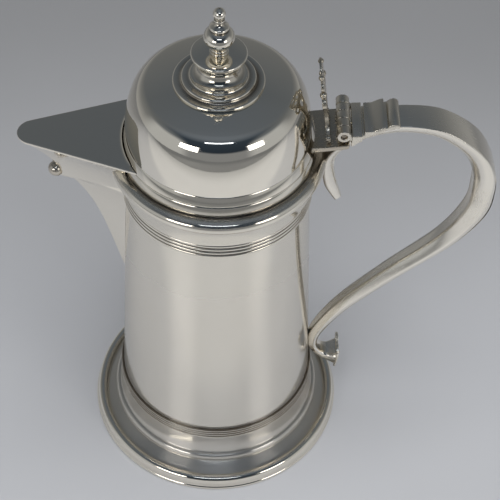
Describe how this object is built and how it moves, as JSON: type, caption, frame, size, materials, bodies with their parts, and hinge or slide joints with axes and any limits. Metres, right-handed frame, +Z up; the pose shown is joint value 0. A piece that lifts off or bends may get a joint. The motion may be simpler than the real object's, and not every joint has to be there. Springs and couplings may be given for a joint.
{
  "type": "wine flagon",
  "caption": "Tapering silver wine flagon on a spread foot, with a covered beak spout, a hinged domed lid with finial and thumbpiece, and a scroll handle.",
  "frame": {"origin": "centre of the foot's resting edge, on the axis of the drum", "axes": "+Z up along the drum, spout towards -X, handle and hinge towards +X, hinge pin along Y"},
  "size_m": [0.2349, 0.1408, 0.2903],
  "materials": {
    "polished_silver": "polished with fine wiping marks",
    "turned_silver": "turned and polished, darker in the creases",
    "handled_silver": "polished and rubbed by use",
    "inner_silver": "satin inside surface",
    "hinge_silver": "worn and slightly tarnished"
  },
  "bodies": {
    "vessel": {"foot_rim_wire": "turned_silver", "foot": "turned_silver", "base_disc": "inner_silver", "drum": "polished_silver", "lower_reeded_band": "turned_silver", "upper_reeded_band": "turned_silver", "rim_moulding": "turned_silver", "spout": "polished_silver", "spout_bead": "turned_silver", "handle": "handled_silver", "handle_ribs": "handled_silver", "handle_knuckles": "hinge_silver", "hinge_pin": "hinge_silver", "handle_terminal": "turned_silver", "terminal_bead": "turned_silver"},
    "lid": {"lid_flange": "turned_silver", "lid_dome": "polished_silver", "lid_bezel": "inner_silver", "spout_cover": "polished_silver", "finial_plinth": "turned_silver", "finial_pedestal": "turned_silver", "finial": "turned_silver", "finial_nut": "inner_silver", "lid_hinge_leaf": "handled_silver", "lid_knuckles": "hinge_silver", "thumbpiece": "handled_silver"}
  },
  "joints": [
    {"name": "lid_hinge", "type": "hinge", "parent": "vessel", "child": "lid", "pos_m": [0.0593, 0, 0.225], "axis": [0, 1, 0], "range_deg": [0, 95]}
  ]
}
